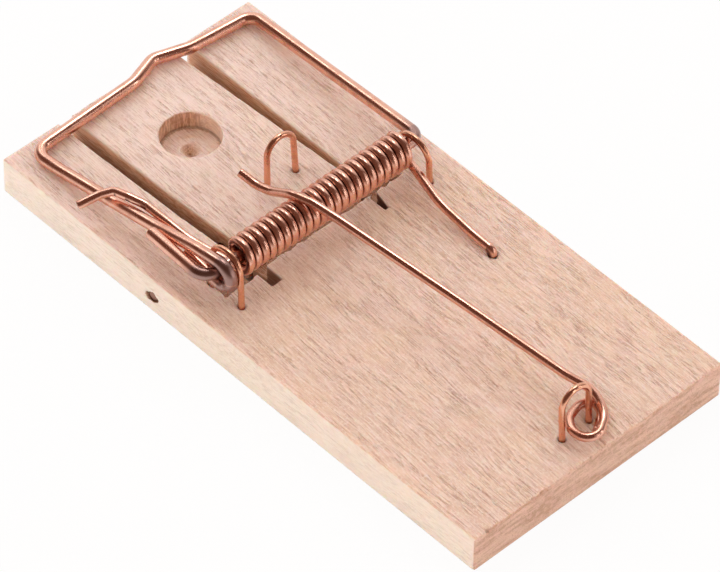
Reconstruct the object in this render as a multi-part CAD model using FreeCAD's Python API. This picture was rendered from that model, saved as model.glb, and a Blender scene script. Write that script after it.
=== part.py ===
import FreeCAD, Part
import os
from math import acos, cos, pi, sin, sqrt, tan
from FreeCAD import Vector as V

# Snap mouse trap with a wooden tongue as its treadle. Millimetres.
# X runs along the board, +X to the end with the rod's anchor staple. Y runs across it, Z is up.
# The origin is the middle of the board's underside.

# Board
board_length = 102.0
board_width = 50.0
board_thick = 6.8
edge_break = 0.25

# Tongue cut out of the board, open at the rear. Its sides and the cuts beside it are given at
# the rear end and at the tongue's front end.
tongue_length = 38.8
tongue_near_rear_y = -11.75
tongue_near_front_y = -10.65
tongue_far_rear_y = 9.15
tongue_far_front_y = 10.9
near_kerf_rear = 2.05
near_kerf_front = 2.15
far_kerf_rear = 2.95
far_kerf_front = 0.95
tongue_front_gap = 0.8
kerf_top_runout = 7.6
kerf_bottom_runout = 2.6
press_relief = 1.8
toe_relief = 0.8

# Groove across the board under the spring
groove_ahead = 4.6
groove_width = 4.3
groove_depth = 3.0
groove_near_inset = 5.7
groove_far_inset = 7.8

# Pin that the tongue turns on
pin_behind_front = 5.5
pin_z = 2.95
pin_radius = 0.95
pin_running_gap = 0.08
pin_seat_gap = 0.01
pin_end_inset = 0.3

# Bait recess in the tongue
bait_from_rear = 15.2
bait_y = -0.78
bait_radius = 4.85
bait_depth = 3.3
bait_point_depth = 0.9
bait_point_radius = 1.6

# Bow wire and its axle. The crossbar is placed from the board's rear end, the arms from the
# axle, and the axle ahead of the tongue's front end.
bow_radius = 1.0
axle_ahead = 3.9
axle_z = 12.6
bow_rest_gap = 0.15
bow_near_inset = 4.6
bow_near_rear_inset = 3.7
bow_far_inset = 2.4
bow_far_axle_inset = 4.6
bow_near_corner = 2.9
bow_far_corner = 3.35
kink_near = (2.1, -0.5)
kink_apex = (0.3, 4.9)
kink_far = (2.3, 10.9)
bow_bend = 2.4
kink_bend = 6.0
kink_apex_bend = 2.4
arm_front = (4.6, 1.35)
arm_middle = (13.4, -0.95)
arm_rear = (26.4, -3.5)
arm_foot = 34.9
arm_rear_splay = 0.1
arm_foot_splay = 0.5
arm_bend = 30.0
arm_front_bend = 14.0
arm_foot_bend = 16.0
far_arm_middle = (18.0, 3.05, -3.15)
far_arm_bend = 60.0
axle_far_bend = 2.0
hook_reach = 3.0
hook_drop = 2.4
hook_rise = 2.6
hook_bend = 2.15
hook_stub = (6.9, 1.4)
tail_inset = 2.2
tail_length = 12.5
tail_toe = 0.5
tail_bend = 2.4

# Torsion spring round the axle. The legs' points are counted from the axle, with Y on the
# near side from the bow's near arm.
spring_wire_radius = 0.5
spring_mean_radius = 2.55
spring_turns = 23
spring_near_inset = 8.75
spring_far_inset = 8.1
leg_over_tip = (-24.95, -5.35, -1.6)
leg_over_arm = (-23.6, -1.8, -0.6)
leg_over_bend = (-22.6, -0.1, -0.3)
leg_over_start = (-20.2, 0.7, -0.3)
leg_rise = (-17.7, 1.8, -0.85)
leg_beside_arm = (-12.7, 1.95, -1.0)
leg_beside_stub = (-8.3, 2.1, -1.3)
leg_straight = 3.0
leg_bends = [1.6, 1.2, 3.0, 3.0, 8.0, 12.0, 3.0]
lie_start = 1.8
lie_first = (9.4, 9.3, 1.9)
lie_second = (16.8, 9.4, 0.9)
lie_end = (21.0, 9.45, 0.85)
lie_bends = [1.5, 20.0, 20.0, 0.75]
spring_tip_depth = 3.6

# Staples
staple_radius = 0.5
staple_end_z = 1.4
staple_seat_gap = 0.01
axle_staple_half = 3.07
near_staple_inset = 6.11
near_staple_ahead = 0.56
near_staple_top_shift = (-0.77, 0.37)
near_staple_height = 8.68
far_staple_inset = 6.05
far_staple_ahead = 0.84
far_staple_top_shift = (0.35, -0.75)
far_staple_height = 7.84
catch_behind_pin = 2.08
catch_y = 3.03
catch_half = 2.87
catch_crown_half = 2.59
catch_top_shift = (-0.41, -0.06)
catch_height = 8.79
catch_depth = 3.2
anchor_from_front = 5.31
anchor_y = 0.23
anchor_half = 2.7
anchor_top_shift = (-0.35, -0.13)
anchor_height = 8.63

# Holding rod with its eye. The points over the coil are counted from the axle, the eye's from
# the anchor staple's feet, the board's middle line and its top.
rod_radius = 0.7
rod_tip = (-11.25, -5.6, 1.9)
rod_dip = (-8.0, -5.1, 1.15)
rod_dip_end = (-5.4, -4.55, 1.5)
rod_crest = (-1.2, -4.25, 3.9)
rod_crest_end = (2.0, -3.25, 3.85)
rod_slope_start = (6.8, -2.35, 3.3)
rod_middle = (28.3, 1.0, 0.8)
rod_bends = [6.0, 4.0, 3.0, 3.0, 6.0, 90.0]
eye_points = [
    (-6.03, 4.02, 4.11),
    (-1.54, 5.45, 3.25),
    (2.28, 4.0, 2.32),
    (4.14, 0.9, 2.27),
    (3.96, -0.5, 2.19),
    (2.89, -1.48, 2.12),
    (0.97, -1.61, 2.03),
    (-1.2, -0.13, 1.87),
    (-2.28, 3.28, 1.51),
    (-1.26, 5.3, 1.11),
    (0.64, 4.9, 0.9),
    (2.41, 2.55, 0.89),
    (2.91, 1.63, 0.88),
]
eye_bends = [6.0, 5.5, 4.6, 1.9, 1.85, 1.95, 2.6, 3.5, 2.8, 0.95, 2.4, 4.0]

# Places that follow from these
rear_x = -board_length / 2
near_y = -board_width / 2
far_y = board_width / 2
tongue_front_x = rear_x + tongue_length
axle_x = tongue_front_x + axle_ahead
bow_near_y = near_y + bow_near_inset
anchor_x = -rear_x - anchor_from_front
kerf_top_x = tongue_front_x + kerf_top_runout
kerf_bottom_x = tongue_front_x + kerf_bottom_runout
groove_front_x = tongue_front_x + groove_ahead
pin_x = tongue_front_x - pin_behind_front
bait_x = rear_x + bait_from_rear


def unit(vector):
    return vector * (1.0 / vector.Length)


def corner_arc(before, corner, after, reach):
    # Arc tangent to both legs of a corner, touching them at the same reach from it
    u = unit(corner - before)
    v = unit(after - corner)
    half = acos(max(-1.0, min(1.0, u.dot(v)))) / 2.0
    radius = reach / tan(half)
    middle = corner + unit(v - u) * (radius / cos(half) - radius)
    start = corner - u * reach
    end = corner + v * reach
    return start, Part.Arc(start, middle, end).toShape(), end


def reach_of(before, corner, after, radius):
    u = unit(corner - before)
    v = unit(after - corner)
    return radius * tan(acos(max(-1.0, min(1.0, u.dot(v)))) / 2.0)


def bent_path(points, radii):
    # Straight runs through the points, with a bend of the given radius at each inner point
    edges = []
    here = points[0]
    for i in range(1, len(points) - 1):
        reach = reach_of(points[i - 1], points[i], points[i + 1], radii[i - 1])
        start, arc, end = corner_arc(points[i - 1], points[i], points[i + 1], reach)
        if (start - here).Length > 1e-4:
            edges.append(Part.makeLine(here, start))
        edges.append(arc)
        here = end
    edges.append(Part.makeLine(here, points[-1]))
    return edges


def round_wire(edges, radius):
    # Round wire of one thickness along a path
    first = edges[0]
    start = first.valueAt(first.FirstParameter)
    along = first.tangentAt(first.FirstParameter)
    ring = Part.Wire([Part.makeCircle(radius, start, along)])
    body = Part.Wire(edges).makePipeShell([ring], True, False)
    return body


def polish(shape):
    if shape.ShapeType != "Solid":
        shape = shape.Solids[0]
    if shape.Volume < 0:
        shape.reverse()
    return shape


def staple_points(middle, along, half, top_shift, height, crown_half):
    # Foot, two corners of the crown and the other foot
    top = middle + V(top_shift[0], top_shift[1], height)
    corners = [top - along * crown_half, top + along * crown_half]
    return [middle - along * half] + corners + [middle + along * half]


def leg_end(foot, corner, end_z, more=0.0):
    up = unit(corner - foot)
    return foot - up * ((foot.z - end_z) / up.z + more)


def staple_path(points, end_z):
    # Two legs and a round crown that fills the room between its corners
    foot_a, corner_a, corner_b, foot_b = points
    wide = (corner_b - corner_a).Length
    turns = reach_of(foot_a, corner_a, corner_b, 1.0) + reach_of(corner_a, corner_b, foot_b, 1.0)
    low_a = leg_end(foot_a, corner_a, end_z)
    low_b = leg_end(foot_b, corner_b, end_z)
    return bent_path([low_a, corner_a, corner_b, low_b], [wide / turns, wide / turns])


def leg_holes(points, end_z):
    holes = []
    for foot, corner in ((points[0], points[1]), (points[3], points[2])):
        low = leg_end(foot, corner, end_z, staple_seat_gap)
        long = (foot - low).Length + 2.0
        radius = staple_radius + staple_seat_gap
        holes.append(Part.makeCylinder(radius, long, low, unit(corner - foot)))
    return holes


def axle_staple_points(y, ahead, top_shift, height):
    middle = V(axle_x + ahead, y, board_thick)
    half = axle_staple_half
    return staple_points(middle, V(1, 0, 0), half, top_shift, height, half)


def near_staple_points():
    y = near_y + near_staple_inset
    return axle_staple_points(y, near_staple_ahead, near_staple_top_shift, near_staple_height)


def far_staple_points():
    y = far_y - far_staple_inset
    return axle_staple_points(y, far_staple_ahead, far_staple_top_shift, far_staple_height)


def anchor_points():
    middle = V(anchor_x, anchor_y, board_thick)
    along = V(0, 1, 0)
    half = anchor_half
    return staple_points(middle, along, half, anchor_top_shift, anchor_height, half)


def catch_points():
    middle = V(pin_x - catch_behind_pin, catch_y, board_thick)
    along = V(0, 1, 0)
    top = (catch_top_shift, catch_height, catch_crown_half)
    return staple_points(middle, along, catch_half, *top)


def staple(points, end_z):
    return round_wire(staple_path(points, end_z), staple_radius)


def block(x0, x1, y0, y1, z0, z1):
    return Part.makeBox(x1 - x0, y1 - y0, z1 - z0, V(x0, y0, z0))


def prism_y(outline, y0, y1):
    # Outline of (x, z) points drawn out along Y
    points = [V(x, y0, z) for x, z in outline]
    face = Part.Face(Part.makePolygon(points + points[:1]))
    return face.extrude(V(0, y1 - y0, 0))


def prism_z(outline, z0, z1):
    # Outline of (x, y) points drawn out along Z
    points = [V(x, y, z0) for x, y in outline]
    face = Part.Face(Part.makePolygon(points + points[:1]))
    return face.extrude(V(0, 0, z1 - z0))


def strip(near_rear, near_front, far_rear, far_front, end):
    # Outline from behind the rear end to a front end, its sides straight to the tongue's front
    def behind(rear, front):
        return rear - (front - rear) / tongue_length

    outline = [(rear_x - 1, behind(near_rear, near_front)), (tongue_front_x, near_front)]
    if end > tongue_front_x:
        outline += [(end, near_front), (end, far_front)]
    return outline + [(tongue_front_x, far_front), (rear_x - 1, behind(far_rear, far_front))]


def kerf_end(y0, y1):
    # Run-out of the saw cut in front of the tongue, sloping back towards the underside
    slope = (kerf_top_x - kerf_bottom_x) / board_thick
    over = 1.0
    outline = [
        (tongue_front_x, -over),
        (kerf_bottom_x - slope * over, -over),
        (kerf_top_x + slope * over, board_thick + over),
        (tongue_front_x, board_thick + over),
    ]
    return prism_y(outline, y0, y1)


def pin_hole(radius, y0, y1):
    return Part.makeCylinder(radius, y1 - y0, V(pin_x, y0, pin_z), V(0, 1, 0))


def base_board():
    side_y = board_width / 2
    near_wall = tongue_near_front_y - near_kerf_front
    far_wall = tongue_far_front_y + far_kerf_front
    body = block(rear_x, -rear_x, -side_y, side_y, 0, board_thick)
    sharp = [e for e in body.Edges if abs(e.BoundBox.ZMin - board_thick) < 1e-6]
    body = body.makeChamfer(edge_break, sharp)
    front = tongue_front_x + tongue_front_gap
    near_rear = tongue_near_rear_y - near_kerf_rear
    far_rear = tongue_far_rear_y + far_kerf_rear
    opening = strip(near_rear, near_wall, far_rear, far_wall, front)
    body = body.cut(prism_z(opening, -1, board_thick + 1))
    body = body.cut(kerf_end(near_wall, tongue_near_front_y))
    body = body.cut(kerf_end(tongue_far_front_y, far_wall))
    floor = board_thick - groove_depth
    rear = groove_front_x - groove_width
    near_end = near_y + groove_near_inset
    far_end = far_y - groove_far_inset
    body = body.cut(block(rear, groove_front_x, near_end, far_end, floor, board_thick + 1))
    body = body.cut(pin_hole(pin_radius + pin_seat_gap, -side_y - 1, side_y + 1))
    holes = leg_holes(near_staple_points(), staple_end_z)
    holes += leg_holes(far_staple_points(), staple_end_z)
    holes += leg_holes(anchor_points(), staple_end_z)
    tip_hole = spring_wire_radius + staple_seat_gap
    tip_floor = board_thick - spring_tip_depth - staple_seat_gap
    low = V(axle_x + lie_end[0], far_y - lie_end[1], tip_floor)
    holes.append(Part.makeCylinder(tip_hole, spring_tip_depth + 1, low, V(0, 0, 1)))
    for hole in holes:
        body = body.cut(hole)
    return body


def treadle_board():
    outline = [
        (rear_x, press_relief),
        (pin_x, 0),
        (tongue_front_x - toe_relief, 0),
        (tongue_front_x, toe_relief),
        (tongue_front_x, board_thick),
        (rear_x + edge_break, board_thick),
        (rear_x, board_thick - edge_break),
    ]
    near = (tongue_near_rear_y, tongue_near_front_y)
    far = (tongue_far_rear_y, tongue_far_front_y)
    plan = prism_z(strip(*near, *far, tongue_front_x), -1, board_thick + 1)
    body = prism_y(outline, near_y, far_y).common(plan)
    floor = board_thick - bait_depth
    middle = V(bait_x, bait_y, floor)
    body = body.cut(Part.makeCylinder(bait_radius, bait_depth + 1, middle, V(0, 0, 1)))
    point = middle - V(0, 0, bait_point_depth)
    body = body.cut(Part.makeCone(0, bait_point_radius, bait_point_depth, point, V(0, 0, 1)))
    hole = pin_hole(pin_radius + pin_running_gap, near_y, far_y)
    body = body.cut(hole)
    for leg in leg_holes(catch_points(), board_thick - catch_depth):
        body = body.cut(leg)
    return body


def treadle_pivot_pin():
    half = board_width / 2 - pin_end_inset
    return pin_hole(pin_radius, -half, half)


def bow_points():
    # From the cut end of the near hook round the frame and along the axle to the tail
    bar_z = board_thick + bow_rest_gap + bow_radius
    front = axle_x + hook_reach
    ny = bow_near_y
    tail_y = near_y + tail_inset
    points = [
        V(axle_x - hook_stub[0], ny, axle_z - hook_stub[1]),
        V(front, ny, axle_z - hook_drop),
        V(front, ny, axle_z + hook_rise),
        V(axle_x - arm_front[0], ny, axle_z + arm_front[1]),
        V(axle_x - arm_middle[0], ny, axle_z + arm_middle[1]),
        V(axle_x - arm_rear[0], ny - arm_rear_splay, axle_z + arm_rear[1]),
        V(axle_x - arm_foot, ny - arm_foot_splay, bar_z),
        V(rear_x + bow_near_corner, near_y + bow_near_rear_inset, bar_z),
        V(rear_x + kink_near[0], kink_near[1], bar_z),
        V(rear_x + kink_apex[0], kink_apex[1], bar_z),
        V(rear_x + kink_far[0], kink_far[1], bar_z),
        V(rear_x + bow_far_corner, far_y - bow_far_inset, bar_z),
        V(rear_x + far_arm_middle[0], far_y - far_arm_middle[1], axle_z + far_arm_middle[2]),
        V(axle_x, far_y - bow_far_axle_inset, axle_z),
        V(axle_x, tail_y, axle_z),
        V(axle_x - tail_length, tail_y + tail_toe, axle_z),
    ]
    radii = [hook_bend, hook_bend, arm_front_bend, arm_bend, arm_bend, arm_foot_bend, bow_bend]
    radii += [kink_bend, kink_apex_bend, kink_bend, bow_bend, far_arm_bend]
    radii += [axle_far_bend, tail_bend]
    return points, radii


def striker_bow():
    points, radii = bow_points()
    return round_wire(bent_path(points, radii), bow_radius)


def helix_at(turn):
    # Point and direction on the coil, counted in turns from its near end at the bottom
    start = near_y + spring_near_inset
    pitch = (far_y - spring_far_inset - start) / spring_turns
    a = 2 * pi * turn
    r = spring_mean_radius
    point = V(axle_x + r * sin(a), start + pitch * turn, axle_z - r * cos(a))
    along = V(r * cos(a), pitch / (2 * pi), r * sin(a))
    return point, unit(along)


def coil_edges():
    # Each half turn is two arcs that meet tangent to each other and to the helix
    edges = []
    for k in range(2 * spring_turns):
        p, t = helix_at(k / 2.0)
        q, s = helix_at((k + 1) / 2.0)
        chord = q - p
        both = t + s
        a = 4.0 - both.dot(both)
        b = chord.dot(both)
        reach = (-b + sqrt(b * b + a * chord.dot(chord))) / a
        c0 = p + t * reach
        c1 = q - s * reach
        edges.append(corner_arc(p, c0, c1, reach)[1])
        edges.append(corner_arc(c0, c1, q, reach)[1])
    return edges


def near_leg_points():
    # Leg that drives the bow, from its tip over the near arm to the coil
    start, along = helix_at(0)
    spots = [leg_over_tip, leg_over_arm, leg_over_bend, leg_over_start]
    spots += [leg_rise, leg_beside_arm, leg_beside_stub]
    points = [V(axle_x + x, bow_near_y + y, axle_z + z) for x, y, z in spots]
    return points + [start - along * leg_straight, start]


def far_leg_points():
    # Leg that bears on the board in front of the coil, its tip driven into the wood
    start, along = helix_at(spring_turns)
    spots = [lie_first, lie_second, lie_end]
    points = [V(axle_x + x, far_y - y, board_thick + z) for x, y, z in spots]
    tip = V(points[-1].x, points[-1].y, board_thick - spring_tip_depth)
    return [start, start + along * lie_start] + points + [tip]


def least_gap(edges, radius):
    # Least free gap between stretches of one wire, measured between points a quarter of its
    # radius apart along it, up to four turns away
    run = []
    at = 0.0
    for edge in edges:
        count = 1 + int(4.0 * edge.Length / radius)
        for k in range(count):
            where = edge.getParameterByLength(edge.Length * k / count)
            run.append((at + edge.Length * k / count, edge.valueAt(where)))
        at += edge.Length
    apart = 8.0 * radius
    reach = 8.0 * pi * spring_mean_radius
    best = 1e9
    for i in range(len(run)):
        s, p = run[i]
        for j in range(i + 1, len(run)):
            if run[j][0] - s > reach:
                break
            if run[j][0] - s > apart:
                best = min(best, (run[j][1] - p).Length)
    return best - 2.0 * radius


def main_spring():
    edges = bent_path(near_leg_points(), leg_bends)
    edges += coil_edges()
    edges += bent_path(far_leg_points(), lie_bends)
    gap = least_gap(edges, spring_wire_radius)
    print("main_spring least gap to itself", round(gap, 3), "mm")
    body = round_wire(edges, spring_wire_radius)
    length = sum(e.Length for e in edges)
    expected = pi * spring_wire_radius ** 2 * length
    print("main_spring volume over section times length", round(body.Volume / expected, 4))
    return body


def rod_points():
    # From the free tip over the coil and down to the eye round the anchor staple's far leg
    spots = [rod_tip, rod_dip, rod_dip_end, rod_crest, rod_crest_end, rod_slope_start, rod_middle]
    points = [V(axle_x + x, y, axle_z + z) for x, y, z in spots]
    points += [V(anchor_x + x, y, board_thick + z) for x, y, z in eye_points]
    return points, rod_bends + eye_bends


def holding_rod():
    points, radii = rod_points()
    return round_wire(bent_path(points, radii), rod_radius)


def main():
    os.makedirs("parts", exist_ok=True)
    nodes = {
        "base_board": base_board(),
        "treadle_board": treadle_board(),
        "treadle_pivot_pin": treadle_pivot_pin(),
        "striker_bow": striker_bow(),
        "main_spring": main_spring(),
        "near_axle_staple": staple(near_staple_points(), staple_end_z),
        "far_axle_staple": staple(far_staple_points(), staple_end_z),
        "catch_staple": staple(catch_points(), board_thick - catch_depth),
        "holding_rod": holding_rod(),
        "rod_anchor_staple": staple(anchor_points(), staple_end_z),
    }
    for name, shape in nodes.items():
        shape = polish(shape)
        box = shape.BoundBox
        low = [round(v, 2) for v in (box.XMin, box.YMin, box.ZMin)]
        high = [round(v, 2) for v in (box.XMax, box.YMax, box.ZMax)]
        print(name, shape.isValid(), len(shape.Solids), round(shape.Volume, 1), low, high)
        shape.exportStep("parts/" + name + ".step")


main()
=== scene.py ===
import math
import random

import bpy
import numpy as np
from mathutils import Matrix, Vector, noise


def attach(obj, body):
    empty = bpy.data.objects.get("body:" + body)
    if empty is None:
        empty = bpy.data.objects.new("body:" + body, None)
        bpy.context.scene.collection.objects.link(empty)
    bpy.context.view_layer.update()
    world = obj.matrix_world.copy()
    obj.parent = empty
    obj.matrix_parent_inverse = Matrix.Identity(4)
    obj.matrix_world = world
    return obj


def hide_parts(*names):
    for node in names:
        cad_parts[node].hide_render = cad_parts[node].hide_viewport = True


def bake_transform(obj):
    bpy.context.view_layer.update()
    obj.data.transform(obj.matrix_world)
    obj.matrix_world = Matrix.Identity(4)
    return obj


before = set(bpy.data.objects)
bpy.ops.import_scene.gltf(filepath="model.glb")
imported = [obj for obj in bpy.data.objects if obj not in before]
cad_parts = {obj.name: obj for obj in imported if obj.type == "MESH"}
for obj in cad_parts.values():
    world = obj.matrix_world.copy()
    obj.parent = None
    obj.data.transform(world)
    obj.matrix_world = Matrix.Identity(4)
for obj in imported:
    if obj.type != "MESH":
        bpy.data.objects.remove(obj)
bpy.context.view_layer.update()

# Snap mouse trap. Lengths below are in millimetres in the part's frame; meshes are in metres.
scene = bpy.context.scene
MM = 0.001

# Board
LENGTH, WIDTH, THICK = 102.0, 50.0, 6.8
REAR = -LENGTH / 2
NEAR = -WIDTH / 2
TONGUE_FRONT = -12.2
SLOT_FRONT = -11.4
# Sides of the tongue and the walls beside it, as (x, y) along the board
TONGUE_NEAR = ((-51, -11.55), (-44, -11.5), (-29, -11.3), (-25, -11.05), (-16.6, -10.65), (-12.2, -10.55))
TONGUE_FAR = ((-51, 9.15), (-12.2, 10.9))
WALL_NEAR = ((-51, -13.85), (-46, -13.8), (-35, -13.62), (-24, -13.3), (-18, -12.95), (-12.2, -12.8))
WALL_FAR = ((-51, 12.1), (-12.2, 11.85))
KERF_TOP, KERF_BOTTOM = -4.6, -9.6
GROOVE_REAR, GROOVE_FRONT = -11.9, -8.35
GROOVE_NEAR, GROOVE_FAR = -19.3, 17.2
GROOVE_FLOOR = 3.8
PIN_X, PIN_Z, PIN_R = -17.7, 2.95, 0.95
BAIT_X, BAIT_Y, BAIT_R, BAIT_FLOOR = -35.8, -0.78, 4.85, 3.5
AXLE_X, AXLE_Z = -8.3, 12.6
ANCHOR_X = 45.69
TIP_X, TIP_Y = 12.7, 15.55

# Wires
BOW_R, ROD_R, STAPLE_R = 1.0, 0.7, 0.5
SPRING_R, COIL_R, TURNS = 0.7, 2.35, 23
COIL_START, COIL_END = -16.25, 16.9

# Camera angles in degrees, its lens in millimetres and the place that it looks at
AZIMUTH, ELEVATION, ROLL = 46.03, 47.15, 1.02
LENS, SENSOR = 313.92, 36.0
TARGET, DISTANCE = (-0.46, 1.09, 0.0), 933.2


# Node helpers
def material(name):
    m = bpy.data.materials.new(name)
    m.use_nodes = True
    m.node_tree.nodes.clear()
    return m, m.node_tree


def add(tree, kind, inputs=None, **props):
    n = tree.nodes.new(kind)
    for key, value in props.items():
        setattr(n, key, value)
    for key, value in (inputs or {}).items():
        socket = n.inputs[key]
        if isinstance(value, bpy.types.NodeSocket):
            tree.links.new(value, socket)
        else:
            socket.default_value = value
    return n


def math_node(tree, op, a, b=0.0, clamp=False, third=0.0):
    return add(tree, "ShaderNodeMath", {0: a, 1: b, 2: third}, operation=op, use_clamp=clamp).outputs[0]


def scaled(tree, vector, factors):
    return add(tree, "ShaderNodeVectorMath", {0: vector, 1: factors}, operation="MULTIPLY").outputs[0]


def in_mm(tree, vector):
    return scaled(tree, vector, (1 / MM, 1 / MM, 1 / MM))


def noise_of(tree, vector, detail=2.0, rough=0.5, distortion=0.0):
    n = add(tree, "ShaderNodeTexNoise", {"Vector": vector, "Scale": 1.0, "Detail": detail,
                                         "Roughness": rough, "Distortion": distortion})
    return n.outputs[0]


def ramp(tree, value, low, high, to_low=0.0, to_high=1.0):
    n = add(tree, "ShaderNodeMapRange", {0: value, 1: low, 2: high, 3: to_low, 4: to_high},
            interpolation_type="SMOOTHSTEP")
    return n.outputs[0]


def mix(tree, factor, a, b, kind="MIX"):
    n = add(tree, "ShaderNodeMix", {0: factor}, data_type="RGBA", blend_type=kind)
    for key, value in ((6, a), (7, b)):
        if isinstance(value, bpy.types.NodeSocket):
            tree.links.new(value, n.inputs[key])
        else:
            n.inputs[key].default_value = (*value, 1.0)
    return n.outputs[2]


def attribute(tree, name):
    return add(tree, "ShaderNodeAttribute", attribute_name=name).outputs["Fac"]


def seen_directly(tree):
    # 1 for what the camera sees, straight or in a mirror or glass
    path = add(tree, "ShaderNodeLightPath")
    seen = math_node(tree, "ADD", path.outputs["Is Camera Ray"], path.outputs["Is Glossy Ray"])
    return math_node(tree, "ADD", seen, path.outputs["Is Transmission Ray"], True)


# Wood
def wood(name):
    m, t = material(name)
    where = add(t, "ShaderNodeTexCoord")
    mm = in_mm(t, where.outputs["Object"])
    spot = add(t, "ShaderNodeSeparateXYZ", {0: mm})
    normal = add(t, "ShaderNodeSeparateXYZ", {0: where.outputs["Normal"]})
    side = ramp(t, math_node(t, "ABSOLUTE", normal.outputs[1]), 0.55, 0.85)
    end = ramp(t, math_node(t, "ABSOLUTE", normal.outputs[0]), 0.45, 0.75)
    # The grain runs along the board, a little askew, and wanders from side to side
    drift = noise_of(t, scaled(t, mm, (0.03, 0.06, 0.08)), 1.0)
    askew = math_node(t, "MULTIPLY", spot.outputs[0], 0.049)
    shift = math_node(t, "MULTIPLY_ADD", drift, 3.0, third=askew)
    wander = add(t, "ShaderNodeCombineXYZ", {1: shift}).outputs[0]
    grain = add(t, "ShaderNodeVectorMath", {0: mm, 1: wander}, operation="ADD").outputs[0]
    bands = noise_of(t, scaled(t, grain, (0.014, 0.22, 0.16)), 3.0, 0.55)
    patches = noise_of(t, scaled(t, mm, (0.11, 0.17, 0.2)), 2.0)
    lines = noise_of(t, scaled(t, grain, (0.30, 5.4, 4.8)), 2.5, 0.64)
    dashes = noise_of(t, scaled(t, grain, (0.42, 8.4, 6.4)), 1.0, 0.5)
    speckle = noise_of(t, scaled(t, mm, (2.8, 3.9, 3.6)), 2.0, 0.6)
    gate = ramp(t, noise_of(t, scaled(t, grain, (0.12, 0.5, 0.4)), 2.0), 0.34, 0.62, 0.4, 1.0)
    dash = math_node(t, "MULTIPLY", ramp(t, dashes, 0.55, 0.66), gate)
    base = mix(t, ramp(t, bands, 0.32, 0.68), (0.87, 0.665, 0.580), (0.83, 0.620, 0.510))
    base = mix(t, ramp(t, patches, 0.38, 0.66, 0.0, 0.75), base, (0.87, 0.660, 0.510))
    # Painted light: the wood is paler and pinker towards the rear, where the key lamp stands
    base = mix(t, ramp(t, spot.outputs[0], 5.0, -45.0, 0.0, 0.55), base, (0.95, 0.800, 0.760))
    base = mix(t, ramp(t, lines, 0.32, 0.50, 0.52, 0.0), base, (0.68, 0.455, 0.360))
    base = mix(t, ramp(t, lines, 0.50, 0.66, 0.0, 0.72), base, (0.96, 0.79, 0.71))
    base = mix(t, math_node(t, "MULTIPLY", dash, 0.62), base, (0.50, 0.275, 0.180))
    base = mix(t, ramp(t, speckle, 0.48, 0.70, 0.0, 0.6), base, (0.97, 0.83, 0.75))
    # The sides are paler; the end is darker, partly for its end grain and partly as painted shade, with flat
    # growth rings and blotches
    pale_side = mix(t, 0.66, base, (1.0, 0.93, 0.85))
    rings = noise_of(t, scaled(t, mm, (0.5, 0.16, 1.3)), 3.0, 0.6)
    blotch = noise_of(t, scaled(t, mm, (1.0, 0.9, 1.3)), 3.0, 0.6)
    pits = noise_of(t, scaled(t, mm, (3.0, 3.6, 4.2)), 2.0, 0.6)
    end_grain_and_shade = mix(t, ramp(t, rings, 0.36, 0.64), (0.85, 0.615, 0.505), (0.61, 0.390, 0.285))
    end_grain_and_shade = mix(t, ramp(t, blotch, 0.44, 0.62, 0.0, 0.6), end_grain_and_shade, (0.86, 0.600, 0.530))
    end_grain_and_shade = mix(t, ramp(t, pits, 0.52, 0.68, 0.0, 0.5), end_grain_and_shade, (0.46, 0.235, 0.155))
    colour = mix(t, side, base, pale_side)
    colour = mix(t, end, colour, end_grain_and_shade)
    # Sawn and torn faces inside the wood: streaks along the grain, fibres standing across it
    cut = attribute(t, "cut")
    painted_shade = attribute(t, "painted_shade")
    fibres = noise_of(t, scaled(t, mm, (3.4, 3.4, 0.4)), 2.0, 0.6)
    sawn = mix(t, ramp(t, lines, 0.36, 0.62), (0.64, 0.315, 0.165), (0.90, 0.600, 0.400))
    torn = mix(t, ramp(t, fibres, 0.42, 0.60), (0.48, 0.215, 0.115), (0.88, 0.580, 0.370))
    inner = mix(t, ramp(t, math_node(t, "ABSOLUTE", normal.outputs[0]), 0.3, 0.65), sawn, torn)
    colour = mix(t, math_node(t, "MULTIPLY", cut, 0.9), colour, inner)
    # Painted shade darkens the slots, the groove, the holes and the recess
    colour = mix(t, math_node(t, "MULTIPLY", painted_shade, 0.9), colour, (0.115, 0.040, 0.025))
    height = math_node(t, "MULTIPLY_ADD", dash, -0.8, third=0.5)
    height = math_node(t, "MULTIPLY_ADD", lines, 0.8, third=height)
    height = math_node(t, "MULTIPLY_ADD", speckle, 0.6, third=height)
    bump = add(t, "ShaderNodeBump", {"Strength": 1.0, "Distance": 0.00009, "Height": height})
    shader = add(t, "ShaderNodeBsdfPrincipled", {
        "Base Color": colour, "Roughness": ramp(t, lines, 0.3, 0.7, 0.78, 0.58),
        "Specular IOR Level": 0.3, "Normal": bump.outputs[0],
        "Subsurface Weight": 0.45, "Subsurface Radius": (1.0, 0.40, 0.20), "Subsurface Scale": 0.0013})
    add(t, "ShaderNodeOutputMaterial", {0: shader.outputs[0]})
    return m


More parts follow.
